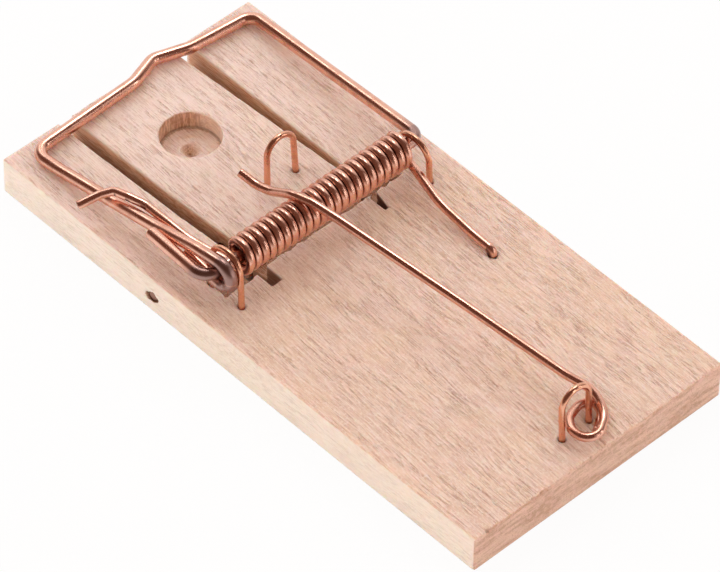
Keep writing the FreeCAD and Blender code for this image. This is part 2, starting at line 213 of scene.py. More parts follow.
# Plated wire
def plated(name, bright, dull, streak=1.0, rough=(0.16, 0.34)):
    m, t = material(name)
    where = add(t, "ShaderNodeTexCoord")
    mm = in_mm(t, where.outputs["Object"])
    uv = add(t, "ShaderNodeSeparateXYZ", {0: add(t, "ShaderNodeUVMap", uv_map="wire").outputs[0]})
    turn = math_node(t, "MULTIPLY", uv.outputs[1], 2 * math.pi)
    round_it = add(t, "ShaderNodeCombineXYZ", {
        0: math_node(t, "MULTIPLY", uv.outputs[0], 0.35),
        1: math_node(t, "MULTIPLY", math_node(t, "COSINE", turn), 5.0),
        2: math_node(t, "MULTIPLY", math_node(t, "SINE", turn), 5.0)}).outputs[0]
    lines = noise_of(t, round_it, 3.0, 0.6)
    tarnish = noise_of(t, scaled(t, mm, (0.5, 0.5, 0.5)), 4.0, 0.6)
    grit = noise_of(t, scaled(t, mm, (5.0, 5.0, 5.0)), 3.0, 0.6)
    bruise = attribute(t, "bruise")
    seam_shade = attribute(t, "seam_shade")
    cut = attribute(t, "cut")
    colour = mix(t, ramp(t, tarnish, 0.42, 0.72, 0.0, 0.55), bright, dull)
    colour = mix(t, ramp(t, lines, 0.45, 0.8, 0.0, 0.35 * streak), colour, dull)
    colour = mix(t, math_node(t, "MULTIPLY", bruise, 0.9), colour, (0.33, 0.205, 0.185))
    # Painted shade in the seams between the coil's turns
    colour = mix(t, math_node(t, "MULTIPLY", seam_shade, 0.95), colour, (0.10, 0.028, 0.018))
    colour = mix(t, math_node(t, "MULTIPLY", cut, 0.8), colour, (0.42, 0.24, 0.19))
    shine = ramp(t, math_node(t, "ADD", tarnish, math_node(t, "MULTIPLY", lines, 0.6)), 0.5, 1.1,
                 rough[0], rough[1])
    shine = math_node(t, "ADD", shine, math_node(t, "MULTIPLY", bruise, 0.06))
    shine = math_node(t, "ADD", shine, math_node(t, "MULTIPLY", cut, 0.22), True)
    height = math_node(t, "ADD", math_node(t, "MULTIPLY", lines, 0.5), math_node(t, "MULTIPLY", grit, 0.06))
    bump = add(t, "ShaderNodeBump", {"Strength": 0.25, "Distance": 0.00003, "Height": height})
    shader = add(t, "ShaderNodeBsdfPrincipled", {
        "Base Color": colour, "Metallic": 1.0, "Roughness": shine, "Normal": bump.outputs[0]})
    add(t, "ShaderNodeOutputMaterial", {0: shader.outputs[0]})
    return m


BRIGHT = (0.87, 0.485, 0.365)
DULL = (0.60, 0.27, 0.18)
board_mat = wood("board_wood")
tongue_mat = wood("tongue_wood")
bow_mat = plated("bow_wire", BRIGHT, DULL)
spring_mat = plated("spring_wire", (0.87, 0.49, 0.37), DULL)
rod_mat = plated("rod_wire", (0.80, 0.43, 0.32), DULL)
staple_mat = plated("staple_wire", (0.86, 0.44, 0.29), (0.64, 0.29, 0.18))
# The pin is dark, partly its own tone and partly painted shade, as only its ends show deep in their holes
pin_mat = plated("pin_steel", (0.44, 0.21, 0.14), (0.17, 0.065, 0.045), 1.0, (0.3, 0.5))


# Mesh helpers
def make_object(name, verts, faces, mat, smooth=True):
    mesh = bpy.data.meshes.new(name)
    mesh.from_pydata(verts, [], faces)
    mesh.update()
    mesh.polygons.foreach_set("use_smooth", [smooth] * len(mesh.polygons))
    mesh.materials.append(mat)
    piece = bpy.data.objects.new(name, mesh)
    scene.collection.objects.link(piece)
    return piece


def put_attribute(mesh, name, values):
    a = mesh.attributes.new(name, "FLOAT", "POINT")
    a.data.foreach_set("value", np.asarray(values, np.float32))


def bent_line(points, radii, step=0.35, turn=math.radians(5)):
    # Points close together along straight runs and tangent bends, with the bend's tightness
    points = [Vector(p) for p in points]
    line = [(points[0].copy(), 0.0)]

    def run_to(target):
        here = line[-1][0].copy()
        span = (target - here).length
        if span < 1e-5:
            return
        n = max(1, round(span / step))
        for i in range(1, n + 1):
            line.append((here.lerp(target, i / n), 0.0))

    for i in range(1, len(points) - 1):
        a, b, c = points[i - 1], points[i], points[i + 1]
        u, v = (b - a).normalized(), (c - b).normalized()
        angle = u.angle(v)
        r = radii[i - 1]
        reach = r * math.tan(angle / 2)
        start, axis = b - u * reach, u.cross(v).normalized()
        run_to(start)
        centre = start + axis.cross(u) * r
        n = max(2, math.ceil(angle / turn))
        for k in range(1, n + 1):
            spin = Matrix.Rotation(angle * k / n, 3, axis)
            line.append((centre + spin @ (start - centre), 1.0 / r))
    run_to(points[-1])
    return line


# Bends tighter than this, in 1/mm, are treated as turns of the coil
COIL_TIGHT = 0.3


def tube(name, line, radius, mat, sides=24, seed=0, wobble=0.006, ends=(0.8, 0.8), bruise=None, coil=False):
    # Round wire along a line, with sheared ends and slight unevenness. bruise(position, tightness)
    # gives how far a place is darkened and flattened by its bending. On a coil, the sides of its
    # turns that face along Y get painted shade as the dark seams between them.
    co = [p for p, _ in line]
    tight = [k for _, k in line]
    n = len(co)
    tangents = [(co[min(i + 1, n - 1)] - co[max(i - 1, 0)]).normalized() for i in range(n)]
    side = tangents[0].orthogonal().normalized()
    along = 0.0
    rings = []
    for i in range(n):
        if i:
            side = (side - tangents[i] * side.dot(tangents[i])).normalized()
            along += (co[i] - co[i - 1]).length
        rings.append((co[i], side.copy(), tangents[i].cross(side).normalized(), along, 1.0, tight[i], 0.0))
    length = along
    # End caps: a short shoulder, a rim and a slightly hollow face
    first, last = rings[0], rings[-1]
    shoulder = 0.16 * radius

    def cap(ring, sign, share):
        p, s, b, at = ring[:4]
        t = s.cross(b)
        shape = ((-1.0, 0.99, 0.0), (-0.35, 0.93, 0.3), (0.0, share, 1.0), (-0.12, share * 0.5, 1.0))
        return [(p + t * sign * shoulder * k, s, b, at, f, 0.0, e) for k, f, e in shape]

    body = [r for r in rings if shoulder * 1.5 < r[3] < length - shoulder * 1.5]
    start = cap(first, -1, ends[0])[::-1]
    end = cap(last, 1, ends[1])
    rings = start + body + end
    rand = random.Random(seed)
    offset = Vector((rand.uniform(-50, 50), rand.uniform(-50, 50), rand.uniform(-50, 50)))
    verts, bruised, seam_shade, cut = [], [], [], []
    for p, s, b, at, f, k, e in rings:
        h = bruise(p, k) if bruise else 0.0
        for j in range(sides):
            a = 2 * math.pi * j / sides
            out = s * math.cos(a) + b * math.sin(a)
            spot = p + out * radius
            w = noise.noise(spot * 0.55 + offset) * wobble + noise.noise(spot * 2.2 + offset) * wobble * 0.35
            # The unevenness only takes away, so the wire never grows past its radius
            r = radius * f * (1.0 + min(0.0, w) / radius)
            r *= 1.0 - 0.012 * h * (1 + math.cos(2 * a))
            verts.append((p + out * r) * MM)
            bruised.append(h)
            seam_shade.append(max(0.0, min(1.0, (abs(out.y) - 0.80) / 0.14)) if coil and k > COIL_TIGHT else 0.0)
            cut.append(e)
    faces = []
    for i in range(len(rings) - 1):
        for j in range(sides):
            a, b = i * sides + j, i * sides + (j + 1) % sides
            faces.append((a, b, b + sides, a + sides))
    # Close each end on a centre point
    for base, flip in ((0, True), ((len(rings) - 1) * sides, False)):
        centre = sum((verts[base + j] for j in range(sides)), Vector()) / sides
        verts.append(centre)
        bruised.append(0.0)
        seam_shade.append(0.0)
        cut.append(1.0)
        c = len(verts) - 1
        for j in range(sides):
            a, b = base + j, base + (j + 1) % sides
            faces.append((b, a, c) if flip else (a, b, c))
    piece = make_object(name, verts, faces, mat)
    mesh = piece.data
    put_attribute(mesh, "bruise", bruised)
    put_attribute(mesh, "seam_shade", seam_shade)
    put_attribute(mesh, "cut", cut)
    layer = mesh.uv_layers.new(name="wire")
    uv = np.zeros((len(mesh.loops), 2), np.float32)
    for poly in mesh.polygons:
        index = poly.index
        last_side = index < (len(rings) - 1) * sides and index % sides == sides - 1
        for loop in poly.loop_indices:
            v = mesh.loops[loop].vertex_index
            if v >= len(rings) * sides:
                uv[loop] = (0.0, 0.5)
                continue
            ring, j = divmod(v, sides)
            angle = 1.0 if last_side and j == 0 else j / sides
            uv[loop] = (rings[ring][3], angle)
    layer.data.foreach_set("uv", uv.ravel())
    return piece


# Wires
near_y = NEAR + 4.6
BAR_Z = THICK + 0.15 + BOW_R
bow_points = [
    (AXLE_X - 6.9, near_y, AXLE_Z - 1.4),
    (AXLE_X + 3.0, near_y, AXLE_Z - 2.4),
    (AXLE_X + 3.0, near_y, AXLE_Z + 2.6),
    (AXLE_X - 4.6, near_y, AXLE_Z + 1.35),
    (AXLE_X - 13.4, near_y, AXLE_Z - 0.95),
    (AXLE_X - 26.4, near_y - 0.1, AXLE_Z - 3.5),
    (AXLE_X - 34.9, near_y - 0.5, BAR_Z),
    (REAR + 2.9, NEAR + 3.7, BAR_Z),
    (REAR + 2.1, -0.5, BAR_Z),
    (REAR + 0.31, 4.9, BAR_Z),
    (REAR + 2.3, 10.9, BAR_Z),
    (REAR + 3.35, -NEAR - 2.4, BAR_Z),
    (REAR + 18.0, -NEAR - 3.05, AXLE_Z - 3.15),
    (AXLE_X, -NEAR - 4.6, AXLE_Z),
    (AXLE_X, NEAR + 2.2, AXLE_Z),
    (AXLE_X - 12.5, NEAR + 2.7, AXLE_Z),
]
bow_radii = [2.15, 2.15, 14.0, 30.0, 30.0, 16.0, 2.4, 6.0, 2.4, 6.0, 2.4, 60.0, 2.0, 2.4]


# The hook, the tail's bend and the far corner are discoloured where the wire was bent hard: the
# middle and the reach of each dark place
BRUISES = (
    ((AXLE_X + 2.7, near_y, AXLE_Z), 3.0),
    ((AXLE_X, NEAR + 2.4, AXLE_Z), 1.8),
    ((AXLE_X - 0.6, -NEAR - 4.6, AXLE_Z), 1.6),
)


def bow_bruise(p, k):
    d = min((p - Vector(spot)).length - reach for spot, reach in BRUISES)
    return max(0.0, min(1.0, 1.0 - d / 3.0)) * (1.0 if k > 0.1 else 0.6)


bow_line = bent_line(bow_points, bow_radii)
bow = tube("striker_bow_wire", bow_line, BOW_R, bow_mat, 28, 3, 0.006, (0.72, 0.8), bow_bruise)

rod_points = [(AXLE_X + x, y, AXLE_Z + z) for x, y, z in [
    (-11.25, -5.6, 1.9), (-8.0, -5.1, 1.15), (-5.4, -4.55, 1.5), (-1.2, -4.25, 3.9),
    (2.0, -3.25, 3.85), (6.8, -2.35, 3.3), (28.3, 1.0, 0.8)]]
rod_points += [(ANCHOR_X + x, y, THICK + z) for x, y, z in [
    (-6.03, 4.02, 4.11), (-1.54, 5.45, 3.25), (2.28, 4.0, 2.32), (4.14, 0.9, 2.27), (3.96, -0.5, 2.19),
    (2.89, -1.48, 2.12), (0.97, -1.61, 2.03), (-1.2, -0.13, 1.87), (-2.28, 3.28, 1.51),
    (-1.26, 5.3, 1.11), (0.64, 4.9, 0.9), (2.41, 2.55, 0.89), (2.91, 1.63, 0.88)]]
rod_radii = [6.0, 4.0, 3.0, 3.0, 6.0, 90.0, 6.0, 5.5, 4.6, 1.9, 1.85, 1.95, 2.6, 3.5, 2.8, 0.95, 2.4, 4.0]
rod = tube("holding_rod_wire", bent_line(rod_points, rod_radii), ROD_R, rod_mat, 24, 5, 0.004)


def staple_points(middle, along, half, shift, height, crown):
    # Foot, two corners of the crown and the other foot
    middle, along = Vector(middle), Vector(along)
    top = middle + Vector((shift[0], shift[1], height))
    return middle - along * half, top - along * crown, top + along * crown, middle + along * half


def staple_line(points, end_z):
    a, b, c, d = points
    turns = sum(math.tan((q - p).angle(r - q) / 2) for p, q, r in ((a, b, c), (b, c, d)))
    radius = (c - b).length / turns
    ends = []
    for foot, corner in ((a, b), (d, c)):
        up = (corner - foot).normalized()
        ends.append(foot - up * ((foot.z - end_z) / up.z))
    return bent_line([ends[0], b, c, ends[1]], [radius, radius])


# Heights where the legs end, then the points, that height and the body of each staple
LEG_END_BOARD, LEG_END_TONGUE = 1.4, 3.6
near_staple = staple_points((AXLE_X + 0.56, NEAR + 6.11, THICK), (1, 0, 0), 3.07, (-0.77, 0.37), 8.68, 3.07)
far_staple = staple_points((AXLE_X + 0.84, -NEAR - 6.05, THICK), (1, 0, 0), 3.07, (0.35, -0.75), 7.84, 3.07)
catch = staple_points((PIN_X - 2.08, 3.03, THICK), (0, 1, 0), 2.87, (-0.41, -0.06), 8.79, 2.59)
anchor = staple_points((ANCHOR_X, 0.23, THICK), (0, 1, 0), 2.7, (-0.35, -0.13), 8.63, 2.7)
STAPLES = {
    "near_axle_staple": (near_staple, LEG_END_BOARD, "base"),
    "far_axle_staple": (far_staple, LEG_END_BOARD, "base"),
    "catch_staple": (catch, LEG_END_TONGUE, "treadle"),
    "rod_anchor_staple": (anchor, LEG_END_BOARD, "base"),
}
staples = {}
for number, (name, (points, end_z, _)) in enumerate(STAPLES.items()):
    line = staple_line(points, end_z)
    staples[name] = tube(name + "_wire", line, STAPLE_R, staple_mat, 20, 20 + number, 0.005, (0.5, 0.5))

# The pin's ends are sunk a little into the board's sides
PIN_SUNK, PIN_STEPS = 0.35, 40
pin_length = WIDTH - 2 * PIN_SUNK
pin_line = []
for i in range(PIN_STEPS + 1):
    pin_line.append((Vector((PIN_X, NEAR + PIN_SUNK + pin_length * i / PIN_STEPS, PIN_Z)), 0.0))
pin = tube("treadle_pivot_pin_wire", pin_line, PIN_R, pin_mat, 24, 9, 0.02, (0.7, 0.7))


# Spring: both legs and the close coil on one line
def coil_at(turn):
    a = 2 * math.pi * turn
    pitch = (COIL_END - COIL_START) / TURNS
    p = Vector((AXLE_X + COIL_R * math.sin(a), COIL_START + pitch * turn, AXLE_Z - COIL_R * math.cos(a)))
    return p, Vector((COIL_R * math.cos(a), pitch / (2 * math.pi), COIL_R * math.sin(a))).normalized()


start, along = coil_at(0)
over = [(-33.2, -25.7, 11.0), (-31.9, -22.2, 12.0), (-30.9, -20.5, 12.3), (-28.5, -19.7, 12.3),
        (-26.0, -18.6, 11.75), (-21.0, -18.45, 11.6), (-16.6, -18.3, 11.3)]
spring_line = bent_line(over + [start - along * 3.0, start], [1.6, 1.4, 3.0, 3.0, 8.0, 12.0, 3.0])
TURN_STEPS = 40
for i in range(1, TURNS * TURN_STEPS):
    spring_line.append((coil_at(i / TURN_STEPS)[0], 1 / COIL_R))
last, along = coil_at(TURNS)
under = [tuple(last + along * 1.8), (1.1, 15.7, 8.7), (8.5, 15.6, 7.75),
         (TIP_X, TIP_Y, 7.7), (TIP_X, TIP_Y, 3.2)]
spring_line += bent_line([last] + under, [1.5, 20.0, 20.0, 0.9])
spring = tube("main_spring_wire", spring_line, SPRING_R, spring_mat, 20, 11, 0.004, coil=True)


# Wood blocks
def value_noise(seed, *axes):
    # Smooth noise from -1 to 1 over one or two broadcast axes, in lattice units
    rng = np.random.default_rng(seed)
    grids = [np.asarray(a, float) for a in axes]
    if len(grids) == 1:
        cells = 4096
        table = rng.uniform(-1, 1, cells)
        x = grids[0] + 1000.0
        i = np.floor(x).astype(int)
        f = x - i
        f = f * f * (3 - 2 * f)
        return table[i % cells] * (1 - f) + table[(i + 1) % cells] * f
    cells = 256
    table = rng.uniform(-1, 1, (cells, cells))
    x, y = grids[0] + 1000.0, grids[1] + 1000.0
    i, j = np.floor(x).astype(int), np.floor(y).astype(int)
    f, g = x - i, y - j
    f, g = f * f * (3 - 2 * f), g * g * (3 - 2 * g)
    i0, i1, j0, j1 = i % cells, (i + 1) % cells, j % cells, (j + 1) % cells
    a = table[i0, j0] * (1 - f) + table[i1, j0] * f
    b = table[i0, j1] * (1 - f) + table[i1, j1] * f
    return a * (1 - g) + b * g


def skin(name, field, low, step, mat):
    # Closed mesh of quads round the places where the field is below nought
    shape = [n - 1 for n in field.shape]
    count = np.zeros(int(np.prod(shape)))
    total = np.zeros((count.size, 3))
    quads = []
    for ax in range(3):
        a, b = [slice(None)] * 3, [slice(None)] * 3
        a[ax], b[ax] = slice(0, -1), slice(1, None)
        f0, f1 = field[tuple(a)], field[tuple(b)]
        crossing = (f0 < 0) != (f1 < 0)
        where = np.argwhere(crossing)
        v0, v1 = f0[crossing], f1[crossing]
        spot = where.astype(float)
        spot[:, ax] += v0 / (v0 - v1)
        u, v = (ax + 1) % 3, (ax + 2) % 3
        cells = []
        for du, dv in ((0, 0), (-1, 0), (-1, -1), (0, -1)):
            c = where.copy()
            c[:, u] += du
            c[:, v] += dv
            flat = (c[:, 0] * shape[1] + c[:, 1]) * shape[2] + c[:, 2]
            cells.append(flat)
            count += np.bincount(flat, minlength=count.size)
            for k in range(3):
                total[:, k] += np.bincount(flat, spot[:, k], count.size)
        quad = np.stack(cells, 1)
        quad[v0 >= 0] = quad[v0 >= 0][:, ::-1]
        quads.append(quad)
    used = np.nonzero(count)[0]
    index = np.full(count.size, -1)
    index[used] = np.arange(used.size)
    verts = (np.array(low) + total[used] / count[used, None] * step) * MM
    faces = index[np.concatenate(quads)]
    return make_object(name, verts.tolist(), faces.tolist(), mat)


def axes_of(low, high, step):
    out = []
    for k in range(3):
        n = int(math.ceil((high[k] - low[k]) / step)) + 1
        values = low[k] + step * np.arange(n)
        shape = [1, 1, 1]
        shape[k] = n
        out.append(values.reshape(shape))
    return out


def carve(field, x, y, z, low, high, shape):
    # Cuts shape(x, y, z) out of the field, inside one box only
    sl = []
    for axis, a, b in ((x, low[0], high[0]), (y, low[1], high[1]), (z, low[2], high[2])):
        inside = np.nonzero((axis.ravel() >= a) & (axis.ravel() <= b))[0]
        sl.append(slice(inside[0], inside[-1] + 1))
    part = field[sl[0], sl[1], sl[2]]
    cut = shape(x[sl[0]], y[:, sl[1]], z[:, :, sl[2]])
    np.maximum(part, -cut, out=part)


def edge(table, x):
    # Place across the board of an edge given by points along it
    return np.interp(x, [p[0] for p in table], [p[1] for p in table])


def leg_holes(points, end_z, radius=STAPLE_R):
    # The two leg holes of a staple, as functions with their boxes
    found = []
    for foot, corner in ((points[0], points[1]), (points[3], points[2])):
        up = (corner - foot).normalized()

        def shape(x, y, z, foot=foot, up=up):
            dx = x - (foot.x + up.x / up.z * (z - THICK))
            dy = y - (foot.y + up.y / up.z * (z - THICK))
            ragged = 0.10 * value_noise(7, x * 2.3, y * 3.1) * (z > THICK - 0.8)
            rim = 0.12 * np.clip((z - THICK + 0.5) / 0.5, 0, 1)
            return np.maximum(np.sqrt(dx * dx + dy * dy) - radius - ragged - rim, end_z - z)
        low = (foot.x - 2.5, foot.y - 2.0, end_z - 0.5)
        high = (foot.x + 2.5, foot.y + 2.0, THICK + 1)
        found.append((low, high, shape))
    return found


def worn(field, a, b, size):
    # The field with a worn corner between two faces whose outward distances are a and b
    return np.maximum(field, ((a + b + size) / math.sqrt(2)).astype(np.float32))


# The grid's step, and its room round each block
STEP, ROOM = 0.22, 0.61
low, high = (REAR - ROOM, NEAR - ROOM, -ROOM), (-REAR + ROOM, -NEAR + ROOM, THICK + ROOM)
x, y, z = axes_of(low, high, STEP)
field = np.maximum(np.abs(x) + REAR, np.abs(y) + NEAR)
field = np.maximum(field, np.maximum(z - THICK, -z)).astype(np.float32)

wear_near = 0.17 + 0.12 * value_noise(1, x / 5.0) + 0.10 * value_noise(2, x / 1.1)
wear_far = 0.08 + 0.06 * value_noise(3, x / 6.0) + 0.06 * value_noise(4, x / 1.3)
bites = np.clip(value_noise(5, y / 0.9) - 0.45, 0, 1) * 1.1 * np.clip(0.6 - y / 14.0, 0.15, 1.0)
wear_front = 0.22 + 0.12 * value_noise(6, y / 2.2) + 0.08 * value_noise(8, y / 0.5) + bites
wear_rear = 0.10 + 0.10 * value_noise(9, y / 2.0)
near_face, far_face, front_face, rear_face = -y + NEAR, y + NEAR, x + REAR, -x + REAR
top_face = z - THICK
WEAR = [
    (near_face, top_face, wear_near), (far_face, top_face, wear_far),
    (front_face, top_face, wear_front), (rear_face, top_face, wear_rear),
    (near_face, -z, 0.12), (far_face, -z, 0.12), (front_face, -z, 0.12), (rear_face, -z, 0.12),
    (front_face, near_face, 0.35), (front_face, far_face, 0.2),
    (rear_face, near_face, 0.12), (rear_face, far_face, 0.12),
]
for a, b, size in WEAR:
    field = worn(field, a, b, size)


def slot_shape(x, y, z):
    wave = 0.05 * value_noise(12, x / 3.0, z / 3.0)
    near, far = edge(WALL_NEAR, x) - y, y - edge(WALL_FAR, x)
    body = np.maximum(np.maximum(near + wave, far - wave), x - SLOT_FRONT)
    # The slot's top edges are softened a little
    lip = np.maximum(np.maximum(near, far), x - SLOT_FRONT)
    return np.minimum(body, (lip - (z - THICK) - 0.08) / math.sqrt(2))


def kerf_shape(side):
    edges = (WALL_NEAR, TONGUE_NEAR) if side < 0 else (TONGUE_FAR, WALL_FAR)
    y0, y1 = (table[-1][1] for table in edges)
    slope = (KERF_TOP - KERF_BOTTOM) / THICK

    def shape(x, y, z):
        bulge = 0.25 * np.sin(np.clip(z / THICK, 0, 1) * math.pi)
        past = x - (KERF_BOTTOM + slope * z) - bulge - 0.08 * value_noise(15, y / 0.4, z / 0.5)
        run_out = past / math.sqrt(1 + slope * slope)
        # Ahead of the groove the far cut bends to the near side and its near edge is torn
        ahead = np.clip(x + 8.6, 0, 4) * (side > 0)
        torn = 1.15 * np.clip(ahead, 0, 1) + 0.35 * value_noise(16, x / 0.7, z / 0.8) * (ahead > 0)
        return np.maximum(np.maximum(y0 - 0.22 * ahead - torn - y, y - y1 + 0.24 * ahead), run_out)
    return shape


def groove_shape(x, y, z):
    depth = np.clip((z - (THICK - 1.5)) / 1.5, 0, 1)
    teeth = np.clip(value_noise(21, y / 0.42) + 0.5 * value_noise(22, y / 0.21), 0, 2) * 0.36 * depth
    teeth = teeth * np.clip(value_noise(23, y / 2.5) + 0.75, 0, 1)
    front = GROOVE_FRONT + 0.7 * np.clip((-12.0 - y) / 2.5, 0, 1) - teeth
    front = front - 0.15 * value_noise(24, y / 0.8, z / 0.8)
    ends = np.maximum(GROOVE_NEAR - 0.35 * value_noise(25, x / 0.7, z / 0.9) - y,
                      y - GROOVE_FAR - 0.35 * value_noise(27, x / 0.7, z / 0.9))
    floor = GROOVE_FLOOR + 0.10 * value_noise(26, x / 0.5, y / 1.5) - z
    return np.maximum(np.maximum(GROOVE_REAR - x, x - front), np.maximum(ends, floor))


def pin_hole_shape(x, y, z):
    dx, dz = x - PIN_X, z - PIN_Z
    turn = np.arctan2(dz, dx)
    mouth = np.exp(-(y - NEAR) / 0.5)
    ragged = mouth * (0.28 + 0.45 * value_noise(31, turn * 1.6 + 20, y / 0.4) + 0.28 * np.cos(2 * turn - 0.6))
    return np.sqrt(dx * dx + dz * dz) - (PIN_R + 0.02) - ragged


def tip_hole_shape(x, y, z):
    across = np.hypot(x - TIP_X, y - TIP_Y) - 0.78 - 0.15 * value_noise(33, x * 3, y * 3)
    return np.maximum(across, 3.1 - z)


carve(field, x, y, z, (REAR - 1, -14.8, -1), (SLOT_FRONT + 1, 13.1, THICK + 1), slot_shape)
for side in (-1, 1):
    y0 = (WALL_NEAR if side < 0 else TONGUE_FAR)[-1][1] - 0.7
    carve(field, x, y, z, (TONGUE_FRONT - 1, y0, -1), (KERF_TOP + 2, y0 + 3.5, THICK + 1), kerf_shape(side))
box_low = (GROOVE_REAR - 1, GROOVE_NEAR - 1, GROOVE_FLOOR - 0.6)
carve(field, x, y, z, box_low, (GROOVE_FRONT + 1.6, GROOVE_FAR + 1, THICK + 1), groove_shape)
box_low = (PIN_X - 2.5, NEAR - 0.6, PIN_Z - 2.5)
carve(field, x, y, z, box_low, (PIN_X + 2.5, -NEAR + 0.6, PIN_Z + 2.5), pin_hole_shape)
for points, end_z, body in STAPLES.values():
    if body == "base":
        for lo, hi, shape in leg_holes(points, end_z):
            carve(field, x, y, z, lo, hi, shape)
carve(field, x, y, z, (TIP_X - 1.7, TIP_Y - 1.9, 2.6), (TIP_X + 1.8, TIP_Y + 2.1, THICK + 1), tip_hole_shape)
board = skin("base_board_wood", field, low, STEP, board_mat)

# Tongue
LOW_Y, HIGH_Y = -12.2, 11.6
low, high = (REAR - ROOM, LOW_Y, -ROOM), (TONGUE_FRONT + ROOM, HIGH_Y, THICK + ROOM)
x, y, z = axes_of(low, high, STEP)
near, far = edge(TONGUE_NEAR, x) - y, y - edge(TONGUE_FAR, x)
field = np.maximum(np.maximum(REAR - x, x - TONGUE_FRONT), np.maximum(near, far))
field = np.maximum(field, np.maximum(z - THICK, -z)).astype(np.float32)
# The relief under the tongue, behind its pin, gives it its travel
RELIEF = 1.8
press = RELIEF / (PIN_X - REAR)
field = np.maximum(field, ((PIN_X - x) * press - z) / math.sqrt(1 + press * press)).astype(np.float32)
front_face, rear_face, top_face = x - TONGUE_FRONT, REAR - x, z - THICK
WEAR = [
    (front_face, -z, 0.8),
    (near, top_face, 0.14 + 0.12 * value_noise(41, x / 3.0) + 0.08 * value_noise(45, x / 0.7)),
    (far, top_face, 0.10 + 0.08 * value_noise(42, x / 3.0)),
    (rear_face, top_face, 0.16 + 0.10 * value_noise(43, y / 2.0)),
    (front_face, top_face, 0.16 + 0.12 * value_noise(44, y / 1.0)),
    (rear_face, near, 0.3), (rear_face, far, 0.3),
]
for a, b, size in WEAR:
    field = worn(field, a, b, size)


def bait_rings(r, turn):
    return value_noise(52, r / 0.45, turn * 0.8 + 20)


def bait_shape(x, y, z):
    dx, dy = x - BAIT_X, y - BAIT_Y
    r = np.hypot(dx, dy)
    turn = np.arctan2(dy, dx)
    fibres = np.clip(value_noise(51, turn * 18 + 60, z / 1.4), 0, 1) * np.abs(np.cos(turn))
    wall = BAIT_R - 0.02 - 0.13 * fibres
    floor = BAIT_FLOOR + 0.07 * bait_rings(r, turn)
    floor = floor - 0.9 * np.clip(1 - r / 1.15, 0, 1)
    lip = (r - wall - (z - THICK) - 0.06) / math.sqrt(2)
    return np.minimum(np.maximum(r - wall, floor - z), lip)


carve(field, x, y, z, (BAIT_X - 6, BAIT_Y - 6, 1.8), (BAIT_X + 6, BAIT_Y + 6, THICK + 1), bait_shape)
carve(field, x, y, z, (PIN_X - 2, LOW_Y, PIN_Z - 2), (PIN_X + 2, HIGH_Y, PIN_Z + 2),
      lambda x, y, z: np.hypot(x - PIN_X, z - PIN_Z) + 0 * y - (PIN_R + 0.1))
for lo, hi, shape in leg_holes(catch, LEG_END_TONGUE):
    carve(field, x, y, z, lo, hi, shape)
tongue = skin("treadle_board_wood", field, low, STEP, tongue_mat)


def vertices_of(piece):
    co = np.zeros(len(piece.data.vertices) * 3, np.float32)
    piece.data.vertices.foreach_get("co", co)
    return (co.reshape(-1, 3) / MM).T


def fade(value, full, none):
    # 1 where the value is at full, 0 where it is at none
    return np.clip((value - none) / (full - none), 0, 1)


def leg_hole_shade(px, py, pz, names):
    # Painted shade round the holes where staple legs go into the wood
    dark = np.zeros(px.size)
    for name in names:
        points = STAPLES[name][0]
        for foot in (points[0], points[3]):
            dark = np.maximum(dark, fade(np.hypot(px - foot.x, py - foot.y), 0.45, 0.8))
    return dark * fade(pz, THICK - 0.1, THICK - 0.5) * 0.6


# Sawn, drilled and torn faces take the cut colour, and painted shade darkens them with their depth below the
# outer faces
px, py, pz = vertices_of(board)
inside = np.minimum.reduce([px - REAR, -REAR - px, py - NEAR, -NEAR - py, THICK - pz, pz])
cut = np.clip((inside - 0.15) / 0.7, 0, 1)
# Painted shade in the slots' run-outs and deep walls, in the groove under the coil and round the pin and tip
# holes
runout = fade(px, SLOT_FRONT + 0.6, SLOT_FRONT - 0.6) * (inside > 0.2) * fade(pz, THICK - 0.6, THICK - 0.05)
groove = (px > GROOVE_REAR - 0.6) & (px < GROOVE_FRONT + np.where(py < -12.0, 1.0, 0.15))
groove &= (py > GROOVE_NEAR - 0.9) & (py < GROOVE_FAR + 0.9)
beside = np.maximum(np.where(py < 0, 0.7, 1.0) * runout, 0.5 * fade(inside, 4.5, 0.9))
painted_shade = np.where(groove, 0.30 * fade(inside, 1.4, 0.2), beside)
pin_rim = np.hypot(px - PIN_X, pz - PIN_Z)
pin_mouth = (py > NEAR + 0.12) & (py < NEAR + 4)
painted_shade = np.maximum(painted_shade, fade(pin_rim, PIN_R + 0.2, PIN_R + 0.7) * pin_mouth)
painted_shade = np.maximum(painted_shade, leg_hole_shade(px, py, pz, ["near_axle_staple", "far_axle_staple", "rod_anchor_staple"]))
painted_shade = np.maximum(painted_shade, fade(np.hypot(px - TIP_X, py - TIP_Y), 0.70, 1.0) * 0.7 * (pz > 2))
put_attribute(board.data, "cut", np.maximum(cut, fade(pin_rim, PIN_R + 0.4, PIN_R + 0.9) * pin_mouth))
put_attribute(board.data, "painted_shade", painted_shade)

px, py, pz = vertices_of(tongue)
near, far = py - edge(TONGUE_NEAR, px), edge(TONGUE_FAR, px) - py
inside = np.minimum.reduce([px - REAR, THICK - pz, pz])
cut = np.clip((inside - 0.15) / 0.7, 0, 1)
r, turn = np.hypot(px - BAIT_X, py - BAIT_Y), np.arctan2(py - BAIT_Y, px - BAIT_X)
recess = (r < BAIT_R + 0.25) & (pz > 2)
